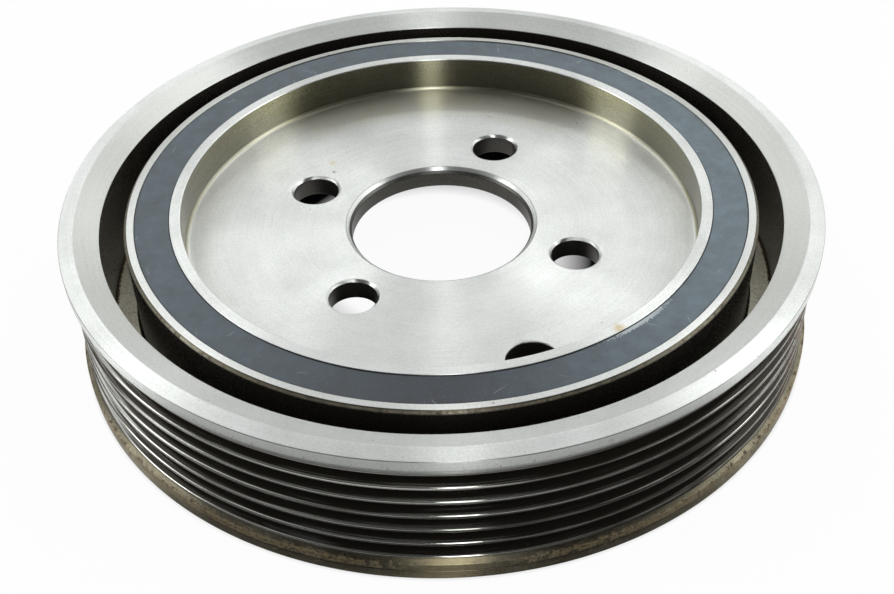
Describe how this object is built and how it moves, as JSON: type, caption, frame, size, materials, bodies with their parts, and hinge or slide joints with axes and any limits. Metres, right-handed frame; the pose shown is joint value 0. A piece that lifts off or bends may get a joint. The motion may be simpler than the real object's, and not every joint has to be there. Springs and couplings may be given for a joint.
{
  "type": "harmonic balancer",
  "caption": "Crankshaft harmonic balancer: a dished steel hub with bolt holes, a bonded rubber ring and an outer ring with a ribbed belt track between flanges.",
  "frame": {"origin": "on the axis, in the plane of the pulley ring's lower edge, on which the part rests", "axes": "+Z along the axis, out of the dish towards the front of the engine; the first bolt hole lies 65.3 degrees from +X towards +Y"},
  "size_m": [0.154, 0.154, 0.0305],
  "materials": {
    "hub": "turned bare steel, satin",
    "rubber_ring": "matt moulded rubber, slate grey",
    "pulley_ring": "turned bare steel, satin, darker in the grooves"
  },
  "bodies": {
    "root": {"hub": "hub", "rubber_ring": "rubber_ring", "pulley_ring": "pulley_ring"}
  },
  "joints": []
}
